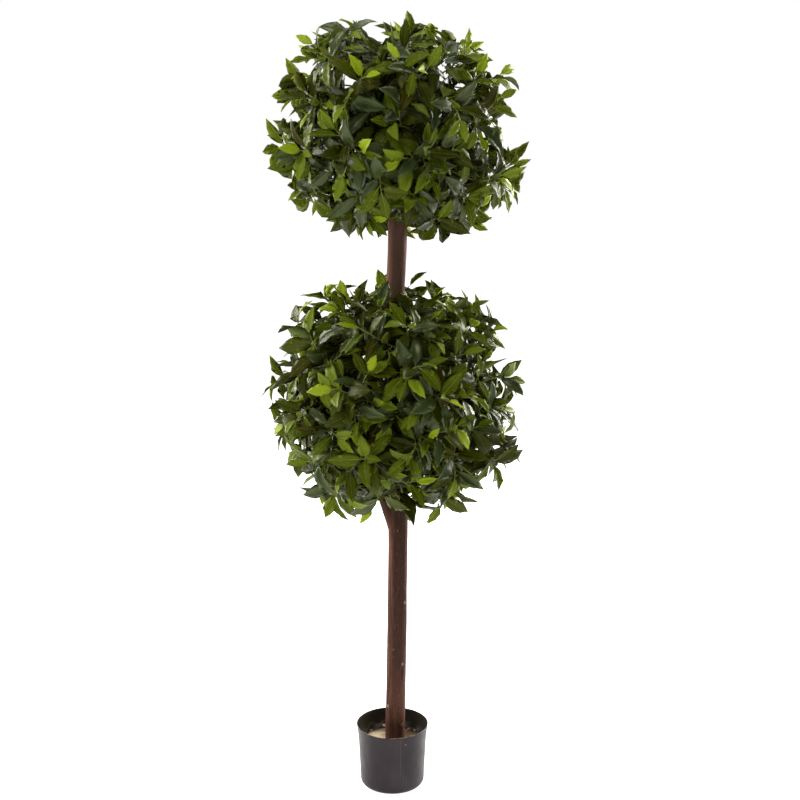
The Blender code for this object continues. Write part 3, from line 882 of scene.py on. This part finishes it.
# From the tip down: orders below, then kinds, their limits at rest and what flush adds.
# Leaves of inner shoots have orders over LEAVES.
LEAF_MIX = (
    (2, "young fresh green", (0.11, 0.62, 1), (0.28, 0.3, 0)),
    (4, "fresh green cool deep middle", (0.07, 0.38, 0.72, 0.88, 1), (0.35, 0.28, 0.15, 0.07, 0)),
    (6, "green cool deep middle", (0.08, 0.46, 0.72, 1), (0, 0, 0, 0)),
    (LEAVES + 1, "cool old deep middle", (0.4, 0.6, 0.8, 1), (0, 0, 0, 0)),
    (2 * LEAVES + 1, "cool old deep middle", (0.08, 0.62, 0.8, 1), (0, 0, 0, 0)),
)
RIB_COLOURS = ((0.11, 0.13, 0.022), (0.22, 0.255, 0.024))
RIB_GLOSS = 0.08


def leaf_kind(order, flush, rng):
    """A leaf's kind from its order down the shoot. A shoot in flush has more fresh ones."""
    chance = rng.random()
    _, kinds, limits, extras = next(row for row in LEAF_MIX if order < row[0])
    rows = zip(kinds.split(), limits, extras)
    return next(kind for kind, limit, extra in rows if chance < limit + extra * flush)


def leaf_proxy(leaf):
    """Corners of the leaf's rough shape: its foot, three across its widest place, and its tip."""
    half = leaf.width * leaf.length / 2
    down = -leaf.face * leaf.length * sin(leaf.droop / 2)
    wide = leaf.root + leaf.heading * (STALK + leaf.length * LEAF_WIDEST) + down * LEAF_WIDEST_DROP
    rise = leaf.face * half * sin(leaf.fold)
    side = leaf.across * half * cos(leaf.fold)
    foot = leaf.root + leaf.heading * STALK
    tip = leaf.root + leaf.heading * (STALK + leaf.length * cos(leaf.droop / 2)) + down
    return [foot, wide - side + rise, wide, wide + side + rise, tip]


def at_parting(place):
    """Whether a place is where the leaves part in front of a bough."""
    low = place.z < FORK_TOP - FORK_SLOPE * place.y
    if low and FORK_SIDES[0] < place.x < FORK_SIDES[1]:
        return True
    across = (place.x - HOLLOW_PLACE.x) / HOLLOW_WIDTH
    along = (place.z - HOLLOW_PLACE.z) / HOLLOW_HEIGHT
    return place.y < HOLLOW_PLACE.y and across**2 + along**2 < 1


def sight_lines():
    """From the sight to the middle of each opening and four places round it."""
    lines = []
    for x, z, half in OPENINGS:
        for across, along in ((0, 0), (1, 0), (-1, 0), (0, 1), (0, -1)):
            lines.append(Vector((x + across * half, 0, z + along * half)) - OPENING_SIGHT)
    return lines


def draw_leaf(kind, shoot, order, size, outward, rng):
    """One try at a leaf's place and shape."""
    jitter = rng.uniform(-LEAF_SPREAD_JITTER, LEAF_SPREAD_JITTER)
    spread = radians(LEAF_SPREADS[order] + jitter)
    turn = order * GOLDEN_ANGLE + size * 1000  # each shoot has its own size and start
    turn += rng.uniform(-LEAF_PLACE_JITTER, LEAF_PLACE_JITTER)
    sideways = shoot.along.orthogonal().normalized()
    sideways.rotate(Quaternion(shoot.along, turn))
    heading = shoot.along * cos(spread) + sideways * sin(spread)
    heading = (heading - UP * LEAF_HANG * rng.random() * order / LEAVES).normalized()
    lean = Vector([rng.uniform(-LEAF_LEAN, LEAF_LEAN) for _ in range(3)])
    front = Vector((0, copysign(LEAF_TURN * (1 - abs(outward.y)), outward.y), 0))
    face = outward + UP * LEAF_LIFT + shoot.along * LEAF_LOOK + lean + front
    if abs(heading.dot(outward)) > LEAF_AHEAD:
        face = UP * LEAF_AHEAD_FACE[0] + lean * LEAF_AHEAD_FACE[1]
    across = heading.cross(face).normalized()
    face = across.cross(heading)
    along = LEAF_SPACING * (order + rng.uniform(0, LEAF_PLACE_JITTER))
    root = shoot.line[2] - shoot.along * along
    length = size * LEAF_SIZES[order] * rng.uniform(*LEAF_SIZE_JITTER)
    width = rng.uniform(*LEAF_WIDTH)
    bends = [radians(rng.uniform(*span)) for span in (LEAF_FOLD, LEAF_DROOP, LEAF_TWIST)]
    wave = rng.uniform(*LEAF_WAVE)
    phase = rng.uniform(0, 2 * pi)
    return Leaf(kind, root, across, heading, face, length, width, *bends, wave, phase)


def dress_shoots(ball, shoots, rng):
    """The leaves of a ball. Each takes the first try that crosses no other, or the best one."""
    leaves = []
    cells = {}
    lines = sight_lines()
    shoot_sizes = [rng.uniform(*LEAF_LENGTH) for _ in shoots]
    flushes = [rng.random() ** 2 for _ in shoots]
    for order in range(LEAVES - 1, -1, -1):
        for shoot, size, flush in zip(shoots, shoot_sizes, flushes):
            outward = (shoot.line[2] - ball.centre).normalized()
            kind = leaf_kind(order + (LEAVES + 1) * shoot.inner, flush, rng)
            best, least = None, inf
            for _ in range(LEAF_TRIES):
                leaf = draw_leaf(kind, shoot, order, size, outward, rng)
                corners = leaf_proxy(leaf)
                if any(fullness(ball, corner - ball.centre) > 1.0 for corner in corners):
                    continue
                if any(limb_gap(corner) < LEAF_GAP or at_parting(corner) for corner in corners):
                    continue
                tree = BVHTree.FromPolygons(corners, PROXY_FACES)
                if any(tree.ray_cast(OPENING_SIGHT, line)[0] for line in lines):
                    continue
                home = tuple(int(part // LEAF_CELL) for part in corners[2])
                around = product(*[(part - 1, part, part + 1) for part in home])
                near = [other for cell in around for other in cells.get(cell, ())]
                crossings = sum(bool(tree.overlap(other)) for other in near)
                if crossings < least:
                    best, least = (leaf, home, tree), crossings
                if not least:
                    break
            if best:
                leaf, home, tree = best
                leaves.append(leaf)
                cells.setdefault(home, []).append(tree)
    return leaves


def flat_blade():
    """A leaf's pattern, with corners as (across, along, side): four strips above, two below."""
    body = bmesh.new()
    for strips, side in ((4, 1.0), (2, -1.0)):
        grid = bmesh.ops.create_grid(body, x_segments=strips, y_segments=LEAF_ROWS, size=1.0)
        for corner in grid["verts"]:
            across, along = corner.co.x, (corner.co.y + 1) / 2
            end = min(along, 1 - along) < 1e-4
            edge = end or abs(across) > 0.999
            corner.co = (0.0 if end else across, along, 0.0 if edge else side)
        if side < 0:
            faces = {face for corner in grid["verts"] for face in corner.link_faces}
            for face in faces:
                face.material_index = 1
            bmesh.ops.reverse_faces(body, faces=list(faces))
    bmesh.ops.remove_doubles(body, verts=body.verts[:], dist=1e-5)
    return body


def flat_rib():
    """A rib's pattern, a four-sided rod along the leaf."""
    body = bmesh.new()
    add_limb(body, ((0, 0, 0), (0, 0, 1)), (1.0, 1.0), 4, RIB_ROWS)
    bmesh.ops.recalc_face_normals(body, faces=body.faces[:])
    for corner in body.verts:
        corner.co = (corner.co.x, corner.co.z, corner.co.y)
    bmesh.ops.reverse_faces(body, faces=body.faces[:])
    return body


def pattern(body):
    """A bmesh, which is freed, as columns of its corners, its faces and their materials."""
    body.verts.index_update()
    corners = np.array([corner.co for corner in body.verts])
    faces = [[corner.index for corner in face.verts] for face in body.faces]
    slots = [face.material_index for face in body.faces]
    body.free()
    return corners.T, faces, slots


def columns(leaves, names):
    """Numbers or vectors of every leaf, each as a column."""
    return [np.array([getattr(leaf, name) for leaf in leaves])[:, None] for name in names.split()]


def in_place(leaves, across, along, rise, midrib):
    """Bend each leaf down and twist it, and set it on its shoot. Each corner is across, along and
    risen in metres, and midrib is how far along the blade it is, from 0 to 1."""
    length, droop, twist = columns(leaves, "length droop twist")
    bend = droop * np.clip(midrib, 0, 1)
    turn = twist * np.clip(midrib, 0, 1)
    x = across * np.cos(turn) - rise * np.sin(turn)
    upwards = across * np.sin(turn) + rise * np.cos(turn)
    ahead = np.where(midrib > 0, length * np.sin(bend) / droop, along)
    down = length * (1 - np.cos(bend)) / droop
    y = STALK + ahead + upwards * np.sin(bend)
    z = upwards * np.cos(bend) - down
    root, *axes = columns(leaves, "root across heading face")
    return root + sum(part[..., None] * axis for part, axis in zip((x, y, z), axes))


def blades(leaves, corners):
    """Every corner of every leaf's blade."""
    across, along, side = corners
    length, width, fold, wave, phase = columns(leaves, "length width fold wave phase")
    outline = np.sin(np.pi * along**LEAF_BELLY).clip(0) ** LEAF_POINT
    outline *= 1 - LEAF_TAPER * along**5
    teeth = 1 + LEAF_TEETH * np.cos(np.pi * LEAF_ROWS * along) * np.sign(across)
    half = width * length / 2 * outline * teeth
    edge = np.abs(across)
    ripple = np.sin(2 * np.pi * LEAF_RIPPLES * along + phase + LEAF_RIPPLE_SHIFT * (across > 0))
    veins = LEAF_VEIN * np.cos(np.pi * LEAF_ROWS * along)
    swell = (LEAF_SWELL + veins) * np.sin(np.pi * edge) * (side > 0)
    rise = half * (edge * np.sin(fold) + swell + wave * edge**2 * ripple)
    rise = rise + side * LEAF_THICKNESS / 2 * (1 - edge * 0.6)
    return in_place(leaves, across * half * np.cos(fold), length * along, rise, along)


def ribs(leaves, corners):
    """Every corner of every leaf's stalk and midrib."""
    across, along, side = corners
    (length,) = columns(leaves, "length")
    distance = (along * (STALK + RIB_END * length)) - STALK
    radius = RIB_RADII[0] + (RIB_RADII[1] - RIB_RADII[0]) * along
    return in_place(leaves, across * radius, distance, side * radius, distance / length)


def join_leaves(name, leaves, bend, own_pattern, paints):
    """One object from the blades or the ribs of many leaves."""
    flat, faces, slots = own_pattern
    places = bend(leaves, flat)
    count, corners = places.shape[:2]
    starts = [leaf * corners for leaf in range(count)]
    all_faces = [[start + corner for corner in face] for start in starts for face in faces]
    mesh = bpy.data.meshes.new(name)
    mesh.from_pydata(places.reshape(-1, 3), [], all_faces)
    mesh.polygons.foreach_set("material_index", slots * count)
    mesh.shade_smooth()
    mesh.update()
    return show(mesh, paints)


def leaf_paint(name, colour, roughness, gloss):
    paint = Paint(name, colour, roughness, gloss)
    paint.set("Specular Tint", LEAF_SHEEN)
    paint.rough(roughness - 0.06, 0.14, 70, 0.3, 0.7)
    paint.bump(0.0006, 260, detail=3)
    return paint


leaf_paints = []
for name, upper, under, roughness, gloss, _ in LEAF_KINDS:
    above = leaf_paint(f"leaf_{name}", upper, roughness, gloss)
    leaf_paints.append((above, leaf_paint(f"leaf_{name}_under", under, 0.55, RIB_GLOSS)))
rib_paints = [leaf_paint(f"rib_{tone}", RIB_COLOURS[tone], 0.45, RIB_GLOSS) for tone in (0, 1)]
blade, rib = pattern(flat_blade()), pattern(flat_rib())
for ball in BALLS:
    rng = random.Random(ball.seed + 1)
    leaves = dress_shoots(ball, shoots_of[ball.name], rng)
    for (name, *_), paints in zip(LEAF_KINDS, leaf_paints):
        own = [leaf for leaf in leaves if leaf.kind == name]
        dress_ball(ball, join_leaves(f"{ball.name}_{name}_leaves", own, blades, blade, paints))
    for tone, paint in enumerate(rib_paints):
        kinds = [kind[0] for kind in LEAF_KINDS if kind[-1] == tone]
        own = [leaf for leaf in leaves if leaf.kind in kinds]
        dress_ball(ball, join_leaves(f"{ball.name}_ribs_{tone}", own, ribs, rib, (paint,)))

# ------ studio
# A plain pale floor that runs on to the horizon, a white surround, and a soft light on each side.

CAMERA_PLACE = Vector((0.0189, -2.872, 1.53))
CAMERA_DOWN = 11.21  # degrees below level
CAMERA_LENS = 56.5
CAMERA_SENSOR = 36.0
FLOOR_SIZE = 60.0
FLOOR_DROP = 0.0005
FLOOR_COLOUR = (0.82, 0.82, 0.82)
FLOOR_GLOW = 1.0
BACKDROP = 1.0
SURROUND = 0.195
LIGHT_COLOUR = (1.0, 0.975, 0.93)
LIGHTS = (  # place, size, power
    ((-2.4, 1.4, 1.9), 1.5, 136),
    ((2.2, 1.75, 1.9), 1.5, 205),
    ((-1.9, -2.2, 3.7), 1.2, 103),
    ((0.3, 0.4, 4.2), 2.6, 85),
)
AIM = Vector((0, 0, 1.0))

floor_body = bmesh.new()
below = Matrix.Translation((0, 0, -FLOOR_DROP))
bmesh.ops.create_grid(floor_body, x_segments=1, y_segments=1, size=FLOOR_SIZE / 2, matrix=below)
floor_paint = Paint("floor", FLOOR_COLOUR, 0.9)
floor_paint.set("Emission Color", (1, 1, 1, 1))
floor_paint.set("Emission Strength", FLOOR_GLOW)
floor = add_piece("studio_floor", floor_body, (floor_paint,))

world = bpy.data.worlds.new("surround")
world.use_nodes = True
nodes, links = world.node_tree.nodes, world.node_tree.links
path = nodes.new("ShaderNodeLightPath")
strength = nodes.new("ShaderNodeMapRange")
strength.inputs[3].default_value = SURROUND
strength.inputs[4].default_value = BACKDROP
links.new(path.outputs["Is Camera Ray"], strength.inputs["Value"])
links.new(strength.outputs[0], nodes["Background"].inputs["Strength"])
nodes["Background"].inputs["Color"].default_value = (1, 1, 1, 1)
bpy.context.scene.world = world
for number, (place, size, power) in enumerate(LIGHTS):
    data = bpy.data.lights.new(f"softbox_{number}", "AREA")
    data.energy = power
    data.color = LIGHT_COLOUR
    data.size = size
    light = show(data)
    light.location = place
    light.rotation_mode = "QUATERNION"
    light.rotation_quaternion = (AIM - Vector(place)).to_track_quat("-Z", "Y")

camera_data = bpy.data.cameras.new("camera")
camera_data.lens = CAMERA_LENS
camera_data.sensor_width = CAMERA_SENSOR
camera = show(camera_data)
camera.location = CAMERA_PLACE
camera.rotation_euler = (radians(90 - CAMERA_DOWN), 0, 0)
bpy.context.scene.camera = camera
bpy.context.scene.view_settings.view_transform = "Standard"
